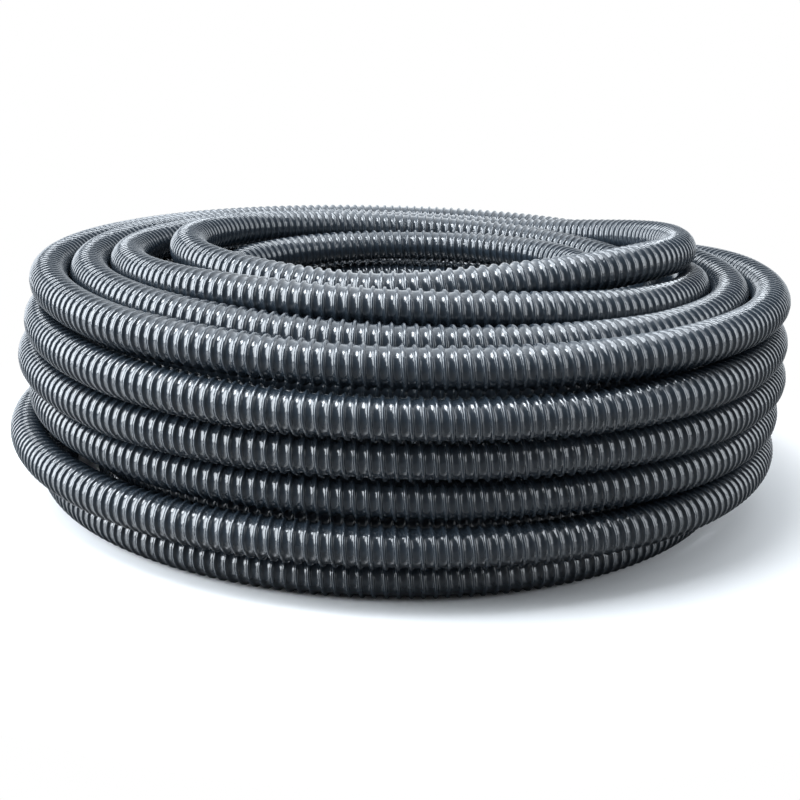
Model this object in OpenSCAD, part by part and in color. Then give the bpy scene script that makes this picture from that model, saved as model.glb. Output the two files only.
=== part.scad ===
// A waste-water hose for a caravan, wound into one free-standing coil.
//
// The hose is wound like thread on a drum, in four layers, one inside the next. The two inner
// layers have one turn fewer than the two outer ones, so their turns lie a little apart.
// It starts high inside the coil, sags through two loose loops to the ground, climbs the innermost
// layer, steps out at the top and comes down the second layer, steps out at the bottom, and so on,
// as one unbroken tube. Its two ends run straight, and show the ribs, the wall and the open bore.
// Places along the winding are given in laps: lap 0 is at the back, and the laps run anticlockwise
// as seen from above. Bearings are in degrees: 0 at the right, 90 at the back, 270 at the front.

/* [Hose] */
// Outside diameter over the ribs
hose_d = 28.5; // [24:0.5:36]
// Thickness of the wall between the ribs
wall_t = 0.8; // [0.6:0.1:2]
// Distance from one rib to the next
rib_pitch = 7.6; // [5:0.1:8.5]
// Width of a rib at its foot
rib_w = 2.8; // [1.5:0.1:4]
// Height of a rib above the wall
rib_h = 1.7; // [0.5:0.1:2.2]
// Number of ribs on each straight end
end_ribs = 12; // [4:1:13]

/* [Coil] */
// Radius of the innermost layer, to the middle of the hose
coil_r = 181; // [170:1:260]
// Air between two turns on top of each other
turn_gap = 0.9; // [0.9:0.1:3]
// Air between two layers side by side
layer_gap = 4; // [4:0.5:10]

/* [Sag] */
// How far the top of each layer rises at the front
front_rise = [14, 15, 0, 0];
// How far each turn of the inner layers stands out, from the ground up
inner_swell = [-15.5, -6, 0, 0, 0, 0];
// How far each turn of the outer layer stands out, from the ground up
outer_swell = [-17, 14, 7, 11, 2, 2];
// How far each turn of the outer layer bulges at the front
front_bulge = [6, -6, -9, -6, 13, 1];
// How far each turn of the inner layers is shifted to the right
inner_shift = [-13, -6, -2, -2, 0, 0];
// How far each turn of the outer layer is shifted to the right
outer_shift = [-13, -6, 2, 0, 2, 4];
// How far the top turn of each layer slips outwards at the right
right_slip = [4, 12, 9, 0];
// How far the top turn of each layer slips outwards at the left
left_slip = [-9, 4, 1, 0];
// How far the top turn of each layer is raised at the left
left_raise = [15, 5, 3, 0];
// How far the top turn of each layer is raised at the back
back_raise = [4, 3, 4, 0];
// How far the innermost top turn stays in, at the right, as it rides up on its neighbour
crown_in = 12; // [11:1:14]
// How far it sinks in beside its neighbour as it rides up
crown_sink = 2; // [0:0.5:2.5]
// How deep a turn settles into the one below, sideways
nest = 9; // [0:1:10]

/* [Ends] */
// Air between the loose loops and the innermost layer
loop_side_gap = 3; // [3:0.5:8]
// How far the hose sags on its way round the first loose loop
loop_sag = 12; // [0:1:14]
// Air between the two loose loops after that sag
loop_gap = 7; // [7:0.5:12]
// How far the hose starts above the middle of the layers' top turns
start_rise = 1; // [0:0.5:4]
// How far the hose starts inside the loose loops
inner_step = 70; // [60:1:80]
// How far the hose leaves the outer layer
outer_step = 80; // [80:1:90]

/* [Hidden] */

layers = 4;
hose_r = hose_d / 2;
wall_r = hose_r - rib_h;
bore_r = wall_r - wall_t;
end_len = end_ribs * rib_pitch;
rib_steps = 6;

// Steps from one turn to the next above it and from one layer to the next outside it
turn_step = hose_d + turn_gap;
layer_step = hose_d + layer_gap;

// Number of the top turn in each layer, counted from 0 on the ground; the swells give one value a turn
top = len(outer_swell) - 1;
inner_top = top - 1;
tops = [inner_top, inner_top, top, top];

// All layers are equally high
stack_h = top * turn_step;

// Middle of the coil from the origin, so that the origin is in the middle of the whole
middle = [3, 1, 0];

// The faceted coil rests on a flat, cut a tenth of its diameter deep. It sinks to it after its start
// and comes up again to its end, over these laps from the start and from the end
flat = hose_d / 10;
sinking = [0, 0.08];
rising = [-0.04, 0];

// Rings of the swept tube: rings in a lap, and sides of a ring
lap_rings = 24;
ring_sides = 6;

// Laps at which the layers change: up, down, up, down
first_top = inner_top + 1;
bottom = first_top + inner_top;
second_top = bottom + top + 1;
last_lap = second_top + top;

// Where a turn climbs, comes down or changes layer, as shares of a lap from a whole lap
inner_climb = [-0.6, -0.25];
inner_descent = [-0.28, -0.04];
outer_climb = [-0.06, 0.16];
outer_descent = [-0.24, 0];
change_first = [-0.48, -0.26];
change_bottom = [0.05, 0.45];
change_second = [-0.17, 0.03];

// Where the innermost top turn moves in and out, and where it rides up and comes down again
crown_start = [-0.5, -0.28];
crown_stop = [-0.1, 0.1];
ride_start = [-0.56, -0.32];
ride_stop = [-0.26, -0.05];

// The loose loops: where they widen from the end, sag, drop and reach the ground, in laps
loop_widen = [-2.75, -2.15];
loop_sagging = [-2.3, -1.7];
loop_drop = [-1.85, -1.5];
loop_landing = [-1, -0.2];
loop_joining = [-0.95, -0.3];
ground_joining = [-0.1, 0.5];

// Radius of the loose loops, height of the hose's start, and how far the second loop lies below
loop_r = coil_r - hose_d - loop_side_gap;
loop_h = stack_h + start_rise;
loop_fall = hose_d + loop_gap - loop_sag;

// Where the hose leaves the outer layer, as shares of the last lap
leaving = [0.66, 0.88];

// The winding starts and ends on these rings
first_ring = -58;
last_ring = lap_rings * last_lap + 19;
start_lap = first_ring / lap_rings;
end_lap = last_ring / lap_rings;

// A step along the winding that is short enough to give its direction, in laps
tiny = 0.001;

// 0 before the span, 1 after it, and a smooth change between
function ease(x, span) =
    let (t = min(1, max(0, (x - span[0]) / (span[1] - span[0]))))
    t * t * (3 - 2 * t);

function mix(a, b, t) = a + (b - a) * t;

function total(list) = [for (v = list) 1] * list;

function unit(v) = v / norm(v);

function bearing(u) = 90 + 360 * u;

// Number of smooth steps made by lap u, one at each lap from one whole lap to another
function steps(u, from, to, span) = total([for (lap = [from : to]) ease(u - lap, span)]);

// Height of the hose at lap u, counted in turns above the ground
function level(u) =
    steps(u, 1, first_top - 1, inner_climb)
    - steps(u, first_top + 1, bottom, inner_descent)
    + steps(u, bottom + 1, second_top - 1, outer_climb)
    - steps(u, second_top + 1, last_lap, outer_descent);

// Layer of the hose at lap u, 0 for the innermost
function layer(u) =
    ease(u - first_top, change_first)
    + ease(u - bottom, change_bottom)
    + ease(u - second_top, change_second);

// 1 at the bearing given, falling to 0 at the opposite one; the power sets how fast it falls
function towards(q, at) = pow((1 + cos(q - at)) / 2, 3);

function rightness(q) = towards(q, 0);
function backness(q) = towards(q, 90);
function leftness(q) = towards(q, 180);
function frontness(q) = towards(q, 270);

// Radius of turn m of layer j at bearing q
function reach(j, m, q) =
    coil_r + j * layer_step
    + (j < layers - 1
        ? inner_swell[m] + inner_shift[m] * cos(q)
        : outer_swell[m] + outer_shift[m] * cos(q) + front_bulge[m] * frontness(q));

// Turns settle fully into each other where the frontness is this much or more
settling = 2 / 3;

// Height of turn m above turn 0: each turn settles a little into the one below
function stack(j, m, q) =
    m == 0 ? 0 :
    let (step = stack_h / tops[j])
    let (aside = abs(reach(j, m, q) - reach(j, m - 1, q)))
    let (settled = min(aside, nest * min(1, frontness(q) / settling)))
    stack(j, m - 1, q) + sqrt(step * step - settled * settled)
    + front_rise[j] * frontness(q) / tops[j];

// Radius and height of the layers' turns at lap u
function layered(u) =
    let (q = bearing(u))
    let (high = level(u), out = layer(u))
    let (m = min(top - 1, floor(high)), j = min(layers - 2, floor(out)))
    let (up = high - m, side = out - j)
    let (r = mix(mix(reach(j, m, q), reach(j + 1, m, q), side),
                 mix(reach(j, m + 1, q), reach(j + 1, m + 1, q), side), up))
    let (h = mix(mix(stack(j, m, q), stack(j + 1, m, q), side),
                 mix(stack(j, m + 1, q), stack(j + 1, m + 1, q), side), up))
    let (topmost = min(1, max(0, high - mix(tops[j], tops[j + 1], side) + 1)))
    let (slip = mix(right_slip[j], right_slip[j + 1], side) * rightness(q)
              + mix(left_slip[j], left_slip[j + 1], side) * leftness(q))
    let (raise = mix(left_raise[j], left_raise[j + 1], side) * leftness(q)
               + mix(back_raise[j], back_raise[j + 1], side) * backness(q))
    let (lap = u - first_top)
    let (crown = ease(lap, crown_start) * (1 - ease(lap, crown_stop)))
    let (ride = ease(lap, ride_start) * (1 - ease(lap, ride_stop)))
    [r + topmost * slip - crown_in * crown * rightness(q),
        h + topmost * raise + (hose_d - crown_sink) * ride];

// Middle of the hose at lap u
function route(u) =
    let (q = bearing(u))
    let (turn = layered(u))
    let (inside = layer_step * (1 - ease(u, ground_joining)))
    let (leave = outer_step * ease(u - last_lap, leaving))
    let (looped = loop_r - inner_step * (1 - ease(u, loop_widen)))
    let (radius = mix(looped, turn[0] - inside, ease(u, loop_joining)) + leave)
    let (hung = loop_h - loop_sag * ease(u, loop_sagging) - loop_fall * ease(u, loop_drop))
    let (height = mix(hung, 0, ease(u, loop_landing)) + turn[1])
    let (sunk = flat * ease(u - start_lap, sinking) * (1 - ease(u - end_lap, rising)))
    middle + [radius * cos(q), radius * sin(q), hose_r - sunk + height];

// Level direction in which the hose runs at lap u
function heading(u) =
    let (step = route(u + tiny) - route(u - tiny))
    unit([step[0], step[1], 0]);

winding = [for (i = [first_ring : last_ring]) route(i / lap_rings)];

// The coil's two faces, one hose diameter straight on from the winding
inner_face = winding[0] - hose_d * heading(start_lap);
outer_face = winding[len(winding) - 1] + hose_d * heading(end_lap);

centres = concat([inner_face], winding, [outer_face]);

// The two open mouths
inner_mouth = inner_face - end_len * heading(start_lap);
outer_mouth = outer_face + end_len * heading(end_lap);

// Direction of the tube at each ring
directions = [for (i = [0 : len(centres) - 1])
    i <= 1 ? heading(start_lap) :
    i >= len(centres) - 2 ? heading(end_lap) :
    unit(centres[i + 1] - centres[i - 1])];

// Corners of one ring, with a side facing down; nothing is lower than the ground
function ring(centre, along) =
    let (across = unit(cross([0, 0, 1], along)))
    let (over = cross(along, across))
    [for (k = [0 : ring_sides - 1])
        let (a = 360 * k / ring_sides)
        let (p = centre + hose_r * (cos(a) * across + sin(a) * over))
        [p[0], p[1], max(0, p[2])]];

function tube_points(places, ways) =
    [for (i = [0 : len(places) - 1]) each ring(places[i], ways[i])];

// Triangles of a swept tube of n rings, with a fan of triangles over each end
function tube_faces(n) = concat(
    [for (i = [0 : n - 2], k = [0 : ring_sides - 1])
        let (a = i * ring_sides + k, b = i * ring_sides + (k + 1) % ring_sides)
        each [[a, a + ring_sides, b], [b, a + ring_sides, b + ring_sides]]],
    [for (k = [1 : ring_sides - 2]) [0, k, k + 1]],
    [for (k = [1 : ring_sides - 2])
        let (e = (n - 1) * ring_sides)
        [e, e + k + 1, e + k]]);

// Distance from point p to the straight piece of route from a to b
function apart(p, a, b) =
    let (t = min(1, max(0, ((p - a) * (b - a)) / ((b - a) * (b - a)))))
    norm(p - a - t * (b - a));

// Least gap between the hose and its own other laps, over every ring and the stretches beside it
lap_gap = min([for (i = [0 : len(winding) - 1])
    for (k = [i + lap_rings - 1 : len(winding) - 2])
        if ((k - i + 1) % lap_rings <= 2)
            apart(winding[i], winding[k], winding[k + 1])]) - hose_d;

// Least gap between the straight ends and the laps that they don't belong to
half_lap = lap_rings / 2;
end_gap = min(
    min([for (i = [half_lap : len(winding) - 1]) apart(winding[i], inner_mouth, inner_face)]),
    min([for (i = [0 : len(winding) - half_lap]) apart(winding[i], outer_mouth, outer_face)])) - hose_d;

hose_len = total([for (i = [1 : len(centres) - 1]) norm(centres[i] - centres[i - 1])]) + 2 * end_len;

echo(str("Least gap of the hose to itself: ", min(lap_gap, end_gap), " mm"));
echo(str("Length of the hose: ", hose_len / 1000, " m in ", end_lap - start_lap, " laps"));
echo(str("Outer mouth at ", outer_mouth, " facing ", heading(end_lap)));
echo(str("Inner mouth at ", inner_mouth, " facing ", -heading(start_lap)));

// Outline of one rib from foot to foot, as radius and place along the hose
function rib(i) = [for (s = [0 : rib_steps])
    [wall_r + rib_h * sqrt(sin(180 * s / rib_steps)),
        (i + 0.5) * rib_pitch + rib_w * (s / rib_steps - 0.5)]];

// A straight end of the hose, open at both ends, running in the direction given
module ribbed_end(start, along) {
    translate(start)
        rotate([0, 90, atan2(along[1], along[0])])
            rotate_extrude($fn = 64)
                polygon(concat(
                    [[bore_r, 0], [wall_r, 0]],
                    [for (i = [0 : end_ribs - 1]) each rib(i)],
                    [[wall_r, end_len], [bore_r, end_len]]));
}

module coil() {
    color("darkslategray")
        polyhedron(tube_points(centres, directions), tube_faces(len(centres)), convexity = 10);
}

module outer_end() {
    color("slategray")
        ribbed_end(outer_face, heading(end_lap));
}

module inner_end() {
    color("slategray")
        ribbed_end(inner_face, -heading(start_lap));
}

coil();
outer_end();
inner_end();
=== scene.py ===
import math

import bpy
import numpy as np
from mathutils import Matrix


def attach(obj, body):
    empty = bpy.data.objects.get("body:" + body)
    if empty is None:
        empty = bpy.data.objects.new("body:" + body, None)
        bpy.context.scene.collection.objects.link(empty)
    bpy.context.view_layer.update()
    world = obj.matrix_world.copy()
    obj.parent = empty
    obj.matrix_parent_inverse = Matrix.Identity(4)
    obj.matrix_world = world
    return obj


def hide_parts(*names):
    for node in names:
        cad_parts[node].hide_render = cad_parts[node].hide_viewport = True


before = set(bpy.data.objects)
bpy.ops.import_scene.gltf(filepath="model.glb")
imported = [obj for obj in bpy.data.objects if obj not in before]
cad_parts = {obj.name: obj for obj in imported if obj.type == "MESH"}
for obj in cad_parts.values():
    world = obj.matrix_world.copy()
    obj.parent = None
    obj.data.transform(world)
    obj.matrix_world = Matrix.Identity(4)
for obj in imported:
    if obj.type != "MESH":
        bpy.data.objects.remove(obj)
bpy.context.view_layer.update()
print("CAD part loaded")

mm = 0.001

# The hose, in millimetres, with the values of the CAD source.
hoseSize = {
    "diameter": 28.5,
    "bore": 23.5,
    "ribPitch": 7.6,
    "ribHeight": 1.7,
    "straightEnd": 91.2,
    "straightLead": 28.5,
}

# Its winding, with the values of the CAD source: lengths in millimetres, and places and spans in laps.
# Lap 0 is at the back, and the laps run anticlockwise as seen from above. Lists of four go by layer,
# from the innermost, and lists of six by turn, from the ground up.
coilShape = {
    "lapBearing": 90.0,  # degrees at lap 0, where 0 is at the right
    "radius": 181.0,  # of the innermost layer
    "layers": 4,
    "top": 5,  # number of the highest turn, where the lowest is 0
    "tops": [4, 4, 5, 5],  # and of each layer's own top turn
    "stackHeight": 147.0,  # of the top turn above the lowest, before turns settle
    "layerStep": 32.5,
    "frontRise": [14.0, 15.0, 0.0, 0.0],  # how much higher the top turns are at the front
    "innerSwell": [-15.5, -6.0, 0.0, 0.0, 0.0, 0.0],
    "outerSwell": [-17.0, 14.0, 7.0, 11.0, 2.0, 2.0],
    "innerBulge": [0.0, 0.0, 0.0, 0.0, 0.0, 0.0],
    "outerBulge": [6.0, -6.0, -9.0, -6.0, 13.0, 1.0],
    "innerShift": [-13.0, -6.0, -2.0, -2.0, 0.0, 0.0],
    "outerShift": [-13.0, -6.0, 2.0, 0.0, 2.0, 4.0],
    "rightSlip": [4.0, 12.0, 9.0, 0.0],  # outwards, of the top turns
    "leftSlip": [-9.0, 4.0, 1.0, 0.0],
    "leftRaise": [15.0, 5.0, 3.0, 0.0],
    "backRaise": [4.0, 3.0, 4.0, 0.0],
    "crownIn": 12.0,  # how far inwards the innermost top turn leans at the right
    "crownRide": 26.5,  # and how far up it rides
    "nest": 9.0,  # how far aside a turn can settle on the one below
    "settling": 2.0 / 3.0,  # frontness from which a turn can settle by the whole of nest
    "loopRadius": 149.5,
    "loopHeight": 148.0,
    "loopSag": 12.0,
    "loopFall": 23.5,
    "innerStep": 70.0,  # outwards over loopWiden, in which the hose starts
    "outerStep": 80.0,  # outwards over leaving, in which it ends
    "middle": [3.0, 1.0, 0.0],
    "firstTop": 5,  # lap of the first change of layer, at the top
    "bottom": 9,  # of the second, on the ground
    "secondTop": 15,  # of the third, at the top again
    "lastLap": 20,  # and the last whole lap
    "innerClimb": [-0.6, -0.25],
    "innerDescent": [-0.28, -0.04],
    "outerClimb": [-0.06, 0.16],
    "outerDescent": [-0.24, 0.0],
    "changeFirst": [-0.48, -0.26],
    "changeBottom": [0.05, 0.45],
    "changeSecond": [-0.17, 0.03],
    "crownStart": [-0.5, -0.28],
    "crownStop": [-0.1, 0.1],
    "rideStart": [-0.56, -0.32],
    "rideStop": [-0.26, -0.05],
    "loopWiden": [-2.75, -2.15],
    "loopSagging": [-2.3, -1.7],
    "loopDrop": [-1.85, -1.5],
    "loopLanding": [-1.0, -0.2],
    "loopJoining": [-0.95, -0.3],
    "groundJoining": [-0.1, 0.5],
    "leaving": [0.66, 0.88],
    "startLap": -58 / 24,
    "endLap": 20 + 19 / 24,
}


# Smooth step over a span from a to b: t = (x - a) / (b - a) kept from 0 to 1, then t * t * (3 - 2 t).
def ease(x, span):
    t = np.clip((x - span[0]) / (span[1] - span[0]), 0.0, 1.0)
    return t * t * (3.0 - 2.0 * t)


# Straight mix of a and b: a + (b - a) * t.
def mix(a, b, t):
    return a + (b - a) * t


# Sum of one smooth step for each lap of a range, each over the given span round its own lap.
def steps(u, laps, span):
    return sum(ease(u - lap, span) for lap in laps)


# Bearing at lap u, in radians: that of lap 0 plus a full turn for each lap.
def bearingAt(u, c):
    return math.radians(c["lapBearing"]) + 2.0 * math.pi * u


# Height in turns at lap u: climbs of the first and third layers less the descents of the second and
# fourth.
def levelAt(u, c):
    return (
        steps(u, range(1, c["firstTop"]), c["innerClimb"])
        - steps(u, range(c["firstTop"] + 1, c["bottom"] + 1), c["innerDescent"])
        + steps(u, range(c["bottom"] + 1, c["secondTop"]), c["outerClimb"])
        - steps(u, range(c["secondTop"] + 1, c["lastLap"] + 1), c["outerDescent"])
    )


# Layer at lap u, 0 for the innermost: one smooth step at each of the three changes.
def layerAt(u, c):
    return (
        ease(u - c["firstTop"], c["changeFirst"])
        + ease(u - c["bottom"], c["changeBottom"])
        + ease(u - c["secondTop"], c["changeSecond"])
    )


# 1 at the bearing given in degrees, falling to 0 at the opposite one: ((1 + cos(q - at)) / 2) ^ 3.
def towards(q, at):
    return ((1.0 + np.cos(q - math.radians(at))) / 2.0) ** 3


# Radius of every turn of every layer at bearing q: the layer's own radius, its swell, its shift to the
# right times cos q, and its bulge times frontness. The outer layer has lists of its own.
def turnRadii(q, frontness, c):
    layerNumber = np.arange(c["layers"])[:, None, None]
    outer = layerNumber == c["layers"] - 1

    def byTurn(what):
        inside, outside = np.array(c["inner" + what]), np.array(c["outer" + what])
        return np.where(outer, outside[None, :, None], inside[None, :, None])

    return (
        c["radius"]
        + layerNumber * c["layerStep"]
        + byTurn("Swell")
        + byTurn("Shift") * np.cos(q)
        + byTurn("Bulge") * frontness
    )


# Height of every turn above the lowest one: each stands sqrt(step^2 - settled^2) above the turn below,
# where settled is how far it has slid aside, nest at most, and the front rise is shared between turns.
def turnHeights(radii, frontness, c):
    tops = np.array(c["tops"], dtype=float)[:, None, None]
    aside = np.abs(np.diff(radii, axis=1))
    settled = np.minimum(aside, c["nest"] * np.minimum(1.0, frontness / c["settling"]))
    rise = np.array(c["frontRise"])[:, None, None] * frontness / tops
    grown = np.cumsum(np.sqrt((c["stackHeight"] / tops) ** 2 - settled**2) + rise, axis=1)
    return np.concatenate([np.zeros_like(grown[:, :1]), grown], axis=1)


# Radius and height of the layers' turns at lap u: a mix of the four neighbouring turns, then the slips
# and raises of the top turns, and the innermost top turn as it rides up on its neighbour.
def layeredAt(u, c):
    q = bearingAt(u, c)
    rightness, backness, leftness, frontness = (towards(q, at) for at in (0, 90, 180, 270))
    high, out = levelAt(u, c), layerAt(u, c)
    m = np.minimum(c["top"] - 1, np.floor(high).astype(int))
    j = np.minimum(c["layers"] - 2, np.floor(out).astype(int))
    up, side, i = high - m, out - j, np.arange(len(u))
    radii = turnRadii(q, frontness, c)
    heights = turnHeights(radii, frontness, c)

    def blend(table):
        low = mix(table[j, m, i], table[j + 1, m, i], side)
        return mix(low, mix(table[j, m + 1, i], table[j + 1, m + 1, i], side), up)

    def byLayer(what):
        values = np.array(c[what], dtype=float)
        return mix(values[j], values[j + 1], side)

    topmost = np.clip(high - byLayer("tops") + 1.0, 0.0, 1.0)
    slip = byLayer("rightSlip") * rightness + byLayer("leftSlip") * leftness
    lift = byLayer("leftRaise") * leftness + byLayer("backRaise") * backness
    lap = u - c["firstTop"]
    crown = ease(lap, c["crownStart"]) * (1.0 - ease(lap, c["crownStop"]))
    ride = ease(lap, c["rideStart"]) * (1.0 - ease(lap, c["rideStop"]))
    radius = blend(radii) + topmost * slip - c["crownIn"] * crown * rightness
    return radius, blend(heights) + topmost * lift + c["crownRide"] * ride


# Middle line of the hose at lap u: the layered turns, with the loose loops before them and the step
# outwards at the end.
def routeAt(u, c, hoseRadius):
    q = bearingAt(u, c)
    turnRadius, turnHeight = layeredAt(u, c)
    inside = c["layerStep"] * (1.0 - ease(u, c["groundJoining"]))
    leave = c["outerStep"] * ease(u - c["lastLap"], c["leaving"])
    looped = c["loopRadius"] - c["innerStep"] * (1.0 - ease(u, c["loopWiden"]))
    radius = mix(looped, turnRadius - inside, ease(u, c["loopJoining"])) + leave
    sag = c["loopSag"] * ease(u, c["loopSagging"]) + c["loopFall"] * ease(u, c["loopDrop"])
    height = mix(c["loopHeight"] - sag, 0.0, ease(u, c["loopLanding"])) + turnHeight
    flat = np.stack([radius * np.cos(q), radius * np.sin(q), hoseRadius + height], axis=1)
    return flat + np.array(c["middle"])


lineDetail = {
    "perLap": 720,
    "straightSteps": 40,
    "nearLap": 0.001,  # how far ahead and behind the two points lie that give a heading, in laps
    "near": 2.0,  # the same along the finished line, in millimetres
}


# Level direction of the hose at lap u, from two points close by.
def headingAt(u, c, hoseRadius):
    near = lineDetail["nearLap"]
    ends = routeAt(np.array([u - near, u + near]), c, hoseRadius)
    step = (ends[1] - ends[0]) * np.array([1.0, 1.0, 0.0])
    return step / np.linalg.norm(step)


# Whole middle line as points, their laps and their distances along the hose: the winding, with a
# straight run of end and lead before it and after it along its own headings.
def middleLine(c, h, d):
    count = int(round((c["endLap"] - c["startLap"]) * d["perLap"]))
    laps = np.linspace(c["startLap"], c["endLap"], count + 1)
    hoseRadius = h["diameter"] / 2.0
    wound = routeAt(laps, c, hoseRadius)
    straight = h["straightEnd"] + h["straightLead"]
    runs = np.linspace(straight, 0.0, d["straightSteps"] + 1)[:-1, None]
    before = wound[0] - runs * headingAt(c["startLap"], c, hoseRadius)
    after = wound[-1] + runs[::-1] * headingAt(c["endLap"], c, hoseRadius)
    points = np.concatenate([before, wound, after])
    startLaps, endLaps = (np.full(d["straightSteps"], lap) for lap in (laps[0], laps[-1]))
    allLaps = np.concatenate([startLaps, laps, endLaps])
    stretches = np.linalg.norm(np.diff(points, axis=0), axis=1)
    return points, allLaps, np.concatenate([[0.0], np.cumsum(stretches)])


linePoints, lineLaps, lineAlong = middleLine(coilShape, hoseSize, lineDetail)
hoseLength = float(lineAlong[-1])
print("middle line:", round(hoseLength), "mm")


# Points of the middle line at distances s along the hose.
def pointsAt(s):
    return np.stack([np.interp(s, lineAlong, linePoints[:, k]) for k in range(3)], axis=1)


# Point and the two cross directions, outwards and up, at distances s: inwards is up x along, and
# upwards is along x inwards, each of length 1.
def frameAt(s):
    along = pointsAt(s + lineDetail["near"]) - pointsAt(s - lineDetail["near"])
    along /= np.linalg.norm(along, axis=1)[:, None]
    inwards = np.cross([0.0, 0.0, 1.0], along)
    inwards /= np.linalg.norm(inwards, axis=1)[:, None]
    upwards = np.cross(along, inwards)
    return pointsAt(s), -inwards, upwards


# Points round the hose: middle + r (cos a * outwards + sin a * upwards), where a = -2 pi side / sides,
# so that side follows side clockwise as seen along the hose from its inner end.
def aroundHose(s, side, sides, radius):
    angle = -2.0 * math.pi * side / sides
    points, outwards, upwards = frameAt(s)
    spoke = np.cos(angle)[:, None] * outwards + np.sin(angle)[:, None] * upwards
    return points + radius[:, None] * spoke


# Mesh object from whole arrays: corner places in millimetres, and triangles.
def makeMesh(name, places, triangles):
    mesh = bpy.data.meshes.new(name)
    mesh.vertices.add(len(places))
    mesh.vertices.foreach_set("co", (places * mm).astype(np.float32).ravel())
    mesh.loops.add(3 * len(triangles))
    mesh.loops.foreach_set("vertex_index", triangles.astype(np.int32).ravel())
    mesh.polygons.add(len(triangles))
    starts = np.arange(0, 3 * len(triangles), 3, dtype=np.int32)
    mesh.polygons.foreach_set("loop_start", starts)
    mesh.update(calc_edges=True)
    mesh.validate()
    mesh.polygons.foreach_set("use_smooth", np.ones(len(mesh.polygons), dtype=bool))
    piece = bpy.data.objects.new(name, mesh)
    bpy.context.scene.collection.objects.link(piece)
    return piece


# Two triangles for each square of corners a, b, c, d, without those that have lost a corner.
def squares(a, b, c, d):
    halves = [np.stack([a, b, c], axis=-1), np.stack([a, c, d], axis=-1)]
    made = np.concatenate(halves).reshape(-1, 3)
    whole = (made[:, 0] != made[:, 1]) & (made[:, 1] != made[:, 2]) & (made[:, 2] != made[:, 0])
    return made[whole]


# Triangles of a closed sleeve of rings, whose ring i starts at corner first + i * sides. They face away
# from the middle of the hose, or towards it where outwards is False.
def sleeve(first, rings, sides, outwards):
    i = np.arange(rings - 1)[:, None]
    k = np.arange(sides)[None, :]
    a = first + i * sides + k
    b = first + i * sides + (k + 1) % sides
    if outwards:
        return squares(a, b, b + sides, a + sides)
    return squares(a, a + sides, b + sides, b)


# In millimetres. The outside of the wall stays just clear of the covers.
wallShape = {"outerRadius": 12.1, "sides": 16, "ringStep": 25.0}


# The plain wall with its bore, from end to end: an outer and an inner sleeve joined by a flat ring at
# each mouth.
def makeWall(w, h):
    rings = int(round(hoseLength / w["ringStep"])) + 1
    sides = w["sides"]
    ringPlaces = np.linspace(0.0, hoseLength, rings)
    s = np.repeat(ringPlaces, sides)
    side = np.tile(np.arange(sides), rings)
    outer = aroundHose(s, side, sides, np.full(len(s), w["outerRadius"]))
    inner = aroundHose(s, side, sides, np.full(len(s), h["bore"] / 2.0))
    count = rings * sides
    k = np.arange(sides)
    nextK = (k + 1) % sides
    last = (rings - 1) * sides
    triangles = np.concatenate(
        [
            sleeve(0, rings, sides, True),
            sleeve(count, rings, sides, False),
            squares(k, count + k, count + nextK, nextK),
            squares(last + k, last + nextK, count + last + nextK, count + last + k),
        ]
    )
    piece = makeMesh("hoseWall", np.concatenate([outer, inner]), triangles)
    return piece, pointsAt(ringPlaces) * mm


# Outline of the rib over one pitch: place along the pitch in millimetres, and height above the wall as
# a share of the rib's height. Below it, a cover is closed at a radius of its own.
ribOutline = {
    "place": [0.0, 0.35, 0.65, 0.98, 1.35, 1.75, 2.15, 2.52, 2.85, 3.15, 3.50, 5.55],
    "height": [0.03, 0.24, 0.56, 0.85, 0.97, 1.00, 0.97, 0.85, 0.56, 0.24, 0.03, -0.13],
    "coverRadius": 12.25,
    "ringStep": 12.0,
}

# A cover has every point of the outline, or every second one where other turns hide its lap.
fineCover = {"sides": 20, "outline": slice(0, 12)}
plainCover = {"sides": 14, "outline": slice(0, 12, 2)}
plainCovers = range(9, 17)


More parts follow.
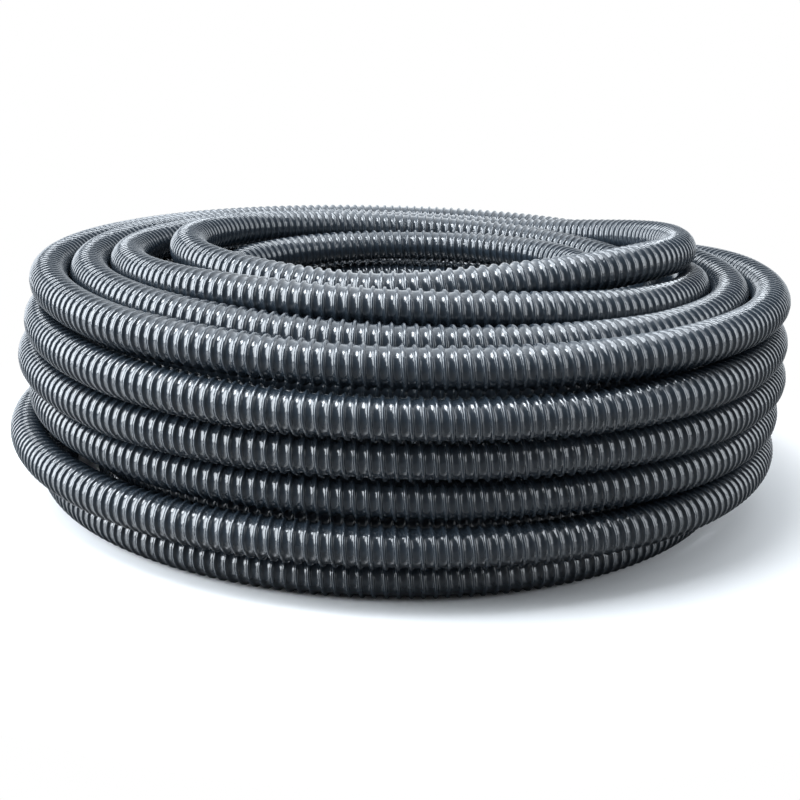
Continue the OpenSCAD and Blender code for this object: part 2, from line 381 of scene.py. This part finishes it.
# Ribbed cover of one stretch, from s0 to s1. The corners are a grid sheared along the spiral: column t
# turns by -2 pi t / sides and moves on by t * pitch / sides, and corners beyond a cut are brought onto
# it, where their radius is read from the outline. Inside, a plain sleeve closes it.
def makeCover(name, s0, s1, detail, h, r):
    sides, pitch = detail["sides"], h["ribPitch"]
    places = np.array(r["place"])[detail["outline"]]
    heights = np.array(r["height"])[detail["outline"]]
    wallRadius = h["diameter"] / 2.0 - h["ribHeight"]
    firstColumn = (math.floor(s0 / pitch) - 1) * sides
    lastColumn = (math.ceil(s1 / pitch) + 1) * sides
    t = np.arange(firstColumn, lastColumn + 1)
    s = t[:, None] * pitch / sides + places[None, :]
    radius = np.broadcast_to(wallRadius + heights * h["ribHeight"], s.shape)
    side = np.broadcast_to((t % sides)[:, None], s.shape)
    count = s.size
    number = np.arange(count).reshape(s.shape)
    number = np.where(s <= s0, count + side, number)
    number = np.where(s >= s1, count + sides + side, number)

    spoke = np.arange(sides)
    nextSpoke = (spoke + 1) % sides
    cuts = np.repeat([s0, s1], sides)
    cutSide = np.tile(spoke, 2)
    phase = (cuts - cutSide * pitch / sides) % pitch
    loopPlaces = np.append(places, pitch + places[0])
    loopHeights = np.append(heights, heights[0])
    cutRadius = wallRadius + h["ribHeight"] * np.interp(phase, loopPlaces, loopHeights)

    rings = max(2, int(round((s1 - s0) / r["ringStep"])) + 1)
    innerS = np.repeat(np.linspace(s0, s1, rings), sides)
    innerRadius = np.full(len(innerS), r["coverRadius"])
    allS = np.concatenate([s.ravel(), cuts, innerS])
    allSide = np.concatenate([side.ravel(), cutSide, np.tile(spoke, rings)])
    allRadius = np.concatenate([radius.ravel(), cutRadius, innerRadius])

    wrapped = np.roll(number[:, :1], -sides, axis=0)
    after = np.concatenate([number[:, 1:], wrapped], axis=1)
    rows = len(t) - sides - 1
    start, end = count, count + sides
    first = end + sides
    last = first + (rings - 1) * sides
    triangles = np.concatenate(
        [
            squares(number[:rows], number[1 : rows + 1], after[1 : rows + 1], after[:rows]),
            sleeve(first, rings, sides, False),
            squares(start + spoke, first + spoke, first + nextSpoke, start + nextSpoke),
            squares(end + spoke, end + nextSpoke, last + nextSpoke, last + spoke),
        ]
    )
    used, triangles = np.unique(triangles, return_inverse=True)
    corners = aroundHose(allS[used], allSide[used], sides, allRadius[used])
    return makeMesh(name, corners, triangles.reshape(-1, 3))


wall, wallPath = makeWall(wallShape, hoseSize)
print("wall:", len(wall.data.polygons), "triangles")

# The covers are cut at whole laps.
wholeLaps = range(math.ceil(coilShape["startLap"]), coilShape["lastLap"] + 1)
coverCuts = [0.0] + [float(np.interp(lap, lineLaps, lineAlong)) for lap in wholeLaps] + [hoseLength]
covers = []
for number, (s0, s1) in enumerate(zip(coverCuts[:-1], coverCuts[1:])):
    detail = plainCover if number in plainCovers else fineCover
    covers.append(makeCover("hoseRib" + str(number), s0, s1, detail, hoseSize, ribOutline))
print("covers:", len(covers), "with", sum(len(c.data.polygons) for c in covers), "triangles")


# Linear colour from a hex sRGB one: below 0.04045 it is c / 12.92, else ((c + 0.055) / 1.055) ^ 2.4.
def linear(hexColour):
    values = np.array([int(hexColour[k : k + 2], 16) for k in (1, 3, 5)]) / 255.0
    made = np.where(values <= 0.04045, values / 12.92, ((values + 0.055) / 1.055) ** 2.4)
    return [float(v) for v in made] + [1.0]


# Adds one node with its own settings. Each of its sockets is linked where it gets another node's
# output, and set otherwise.
def addNode(owner, kind, sockets, settings):
    node = owner.node_tree.nodes.new(kind)
    for key, value in settings.items():
        setattr(node, key, value)
    for key, value in sockets.items():
        if isinstance(value, bpy.types.NodeSocket):
            owner.node_tree.links.new(value, node.inputs[key])
        else:
            node.inputs[key].default_value = value
    return node


# Empty material with nodes.
def newMaterial(name):
    material = bpy.data.materials.new(name)
    material.use_nodes = True
    material.node_tree.nodes.clear()
    return material


# Lengths in millimetres: patches of colour and gloss, and ripples with their height.
hoseFinish = {
    "colour": "#303942",
    "darker": "#252D35",
    "patch": 35.0,
    "patchDetail": 2.0,
    "ripple": 4.0,
    "rippleDetail": 1.0,
    "rippleHeight": 0.3,
    "smoothest": 0.18,
    "dullest": 0.28,
    "ior": 1.54,
    "skin": 1.0,
    "skinRoughness": 0.05,
}


# PVC, extruded and wound, glossy from the die. Its smooth skin mirrors the room in thin streaks along
# each rib, which soft ripples a few millimetres apart break up a little, and its dark blue-grey and its
# gloss vary over patches of a few centimetres.
def makePlastic(f):
    material = newMaterial("extrudedPvc")
    coords = addNode(material, "ShaderNodeTexCoord", {}, {})
    place = coords.outputs["Object"]
    patches = addNode(
        material,
        "ShaderNodeTexNoise",
        {"Vector": place, "Scale": 1.0 / (f["patch"] * mm), "Detail": f["patchDetail"]},
        {},
    )
    ripples = addNode(
        material,
        "ShaderNodeTexNoise",
        {"Vector": place, "Scale": 1.0 / (f["ripple"] * mm), "Detail": f["rippleDetail"]},
        {},
    )
    tint = addNode(
        material,
        "ShaderNodeMix",
        {0: patches.outputs["Fac"], 6: linear(f["colour"]), 7: linear(f["darker"])},
        {"data_type": "RGBA"},
    )
    gloss = addNode(
        material,
        "ShaderNodeMapRange",
        {"Value": patches.outputs["Fac"], "To Min": f["smoothest"], "To Max": f["dullest"]},
        {},
    )
    relief = addNode(
        material,
        "ShaderNodeBump",
        {"Height": ripples.outputs["Fac"], "Distance": f["rippleHeight"] * mm},
        {},
    )
    shader = addNode(
        material,
        "ShaderNodeBsdfPrincipled",
        {
            "Base Color": tint.outputs[2],
            "Roughness": gloss.outputs[0],
            "IOR": f["ior"],
            "Normal": relief.outputs["Normal"],
            "Coat Weight": f["skin"],
            "Coat Roughness": f["skinRoughness"],
            "Coat Normal": relief.outputs["Normal"],
        },
        {},
    )
    addNode(material, "ShaderNodeOutputMaterial", {"Surface": shader.outputs[0]}, {})
    return material


plastic = makePlastic(hoseFinish)
for piece in [wall] + covers:
    piece.data.materials.append(plastic)
    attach(piece, "root")
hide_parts("coil", "outer_end", "inner_end")
print("hose declared")


# Object whose place is in its matrix: its three axes as columns, and its spot in metres.
def placeObject(name, data, axes, spot):
    holder = bpy.data.objects.new(name, data)
    bpy.context.scene.collection.objects.link(holder)
    matrix = np.eye(4)
    matrix[:3, :3] = np.stack(axes, axis=1)
    matrix[:3, 3] = spot
    holder.matrix_world = Matrix(matrix.tolist())
    return holder


# The camera looks at a point from a distance, pitched down, and is rolled a little. Lengths and lens in
# millimetres, angles in degrees.
cameraShape = {
    "look": [-0.5, 1.5, 85.5],
    "distance": 1011.75,
    "elevation": 14.7,
    "pitch": 16.57,
    "yaw": 0.17,
    "roll": -1.94,
    "lens": 55.125,
    "sensor": 36.0,
    "farthest": 20000.0,
}


# The camera stands at look + distance (0, -cos e, sin e). Its axes come from yaw and pitch, then turn
# by roll.
def makeCamera(c):
    e, a, yaw, roll = (math.radians(c[k]) for k in ("elevation", "pitch", "yaw", "roll"))
    spot = np.array(c["look"]) + c["distance"] * np.array([0.0, -math.cos(e), math.sin(e)])
    right = np.array([math.cos(yaw), -math.sin(yaw), 0.0])
    ahead = np.array([math.sin(yaw) * math.cos(a), math.cos(yaw) * math.cos(a), -math.sin(a)])
    upwards = np.cross(right, ahead)
    rolledRight = math.cos(roll) * right - math.sin(roll) * upwards
    rolledUp = math.sin(roll) * right + math.cos(roll) * upwards
    camera = bpy.data.cameras.new("camera")
    camera.lens = c["lens"]
    camera.sensor_width = c["sensor"]
    camera.clip_end = c["farthest"] * mm
    holder = placeObject("camera", camera, [rolledRight, rolledUp, -ahead], spot * mm)
    bpy.context.scene.camera = holder


makeCamera(cameraShape)
print("camera placed")

# The floor fades to plain white between two distances from the middle. Lengths in millimetres.
floorLook = {
    "size": 12000.0,
    "colour": "#FCFCFC",
    "roughness": 0.9,
    "reflected": "#8A8A8A",
    "metallic": 0.6,
    "polish": 0.3,
    "fadeStart": 300.0,
    "fadeEnd": 480.0,
}


# Flat square floor at ground level. The camera sees it matt and pale, with the shadow, and plain white
# further off. The hose sees it darker and polished, so the lamps' reflections go on below the horizon.
def makeFloor(f):
    corners = np.array([[-1.0, -1.0, 0.0], [1.0, -1.0, 0.0], [1.0, 1.0, 0.0], [-1.0, 1.0, 0.0]])
    floor = makeMesh("floor", corners * f["size"] / 2.0, np.array([[0, 1, 2], [0, 2, 3]]))
    material = newMaterial("studioFloor")
    path = addNode(material, "ShaderNodeLightPath", {}, {})
    seen = path.outputs["Is Camera Ray"]
    place = addNode(material, "ShaderNodeNewGeometry", {}, {})
    away = addNode(
        material,
        "ShaderNodeVectorMath",
        {0: place.outputs["Position"]},
        {"operation": "LENGTH"},
    )
    fade = addNode(
        material,
        "ShaderNodeMapRange",
        {
            "Value": away.outputs["Value"],
            "From Min": f["fadeStart"] * mm,
            "From Max": f["fadeEnd"] * mm,
        },
        {"interpolation_type": "SMOOTHSTEP"},
    )
    share = addNode(
        material, "ShaderNodeMath", {0: fade.outputs[0], 1: seen}, {"operation": "MULTIPLY"}
    )
    matt = addNode(
        material,
        "ShaderNodeBsdfPrincipled",
        {"Base Color": linear(f["colour"]), "Roughness": f["roughness"]},
        {},
    )
    polished = addNode(
        material,
        "ShaderNodeBsdfPrincipled",
        {
            "Base Color": linear(f["reflected"]),
            "Metallic": f["metallic"],
            "Roughness": f["polish"],
        },
        {},
    )
    white = addNode(material, "ShaderNodeEmission", {"Strength": 1.0}, {})
    near = addNode(
        material, "ShaderNodeMixShader", {0: seen, 1: polished.outputs[0], 2: matt.outputs[0]}, {}
    )
    mixed = addNode(
        material,
        "ShaderNodeMixShader",
        {0: share.outputs[0], 1: near.outputs[0], 2: white.outputs[0]},
        {},
    )
    addNode(material, "ShaderNodeOutputMaterial", {"Surface": mixed.outputs[0]}, {})
    floor.data.materials.append(material)


makeFloor(floorLook)

# A slightly cool daylight, as linear red, green and blue, and lamps in millimetres with their aim.
daylight = [0.88, 0.94, 1.0]
lampAim = [0.0, 0.0, 100.0]
studioLamps = {
    "key": {"place": [-450.0, -350.0, 1850.0], "size": [800.0, 800.0], "watts": 31.0},
    "left": {"place": [-2100.0, -350.0, 1170.0], "size": [2400.0, 2300.0], "watts": 118.0},
    "right": {"place": [2100.0, -250.0, 870.0], "size": [2400.0, 1700.0], "watts": 23.0},
}


# Rectangular area lamps that face the middle of the coil, with width and height. A lamp's back points
# from the aim to its place, its width runs level, as up x back, and its height is back x width.
def makeLamps(lamps):
    for name, values in lamps.items():
        lamp = bpy.data.lights.new(name, "AREA")
        lamp.shape = "RECTANGLE"
        lamp.size, lamp.size_y = (length * mm for length in values["size"])
        lamp.energy = values["watts"]
        lamp.color = daylight
        spot = np.array(values["place"]) * mm
        back = spot - np.array(lampAim) * mm
        back /= np.linalg.norm(back)
        across = np.cross([0.0, 0.0, 1.0], back)
        across /= np.linalg.norm(across)
        placeObject(name, lamp, [across, np.cross(back, across), back], spot)


makeLamps(studioLamps)

# Strength of the world's light in front of the coil and behind it, and between which Y of its direction
# it changes.
worldLook = {"front": 0.1, "back": 1.4, "from": -0.6, "to": 0.4}


# World light: dim in front and brighter at the back on the object, and white where the camera sees it.
def makeWorld(w):
    world = bpy.data.worlds.new("studio")
    bpy.context.scene.world = world
    world.use_nodes = True
    world.node_tree.nodes.clear()
    path = addNode(world, "ShaderNodeLightPath", {}, {})
    coords = addNode(world, "ShaderNodeTexCoord", {}, {})
    parts = addNode(world, "ShaderNodeSeparateXYZ", {0: coords.outputs["Generated"]}, {})
    level = addNode(
        world,
        "ShaderNodeMapRange",
        {
            "Value": parts.outputs["Y"],
            "From Min": w["from"],
            "From Max": w["to"],
            "To Min": w["front"],
            "To Max": w["back"],
        },
        {"interpolation_type": "SMOOTHSTEP"},
    )
    soft = addNode(
        world,
        "ShaderNodeBackground",
        {"Color": daylight + [1.0], "Strength": level.outputs[0]},
        {},
    )
    white = addNode(
        world, "ShaderNodeBackground", {"Color": linear("#FFFFFF"), "Strength": 1.0}, {}
    )
    mixed = addNode(
        world,
        "ShaderNodeMixShader",
        {0: path.outputs["Is Camera Ray"], 1: soft.outputs[0], 2: white.outputs[0]},
        {},
    )
    addNode(world, "ShaderNodeOutputWorld", {"Surface": mixed.outputs[0]}, {})


makeWorld(worldLook)
bpy.context.scene.view_settings.view_transform = "Standard"
print("light and floor made")
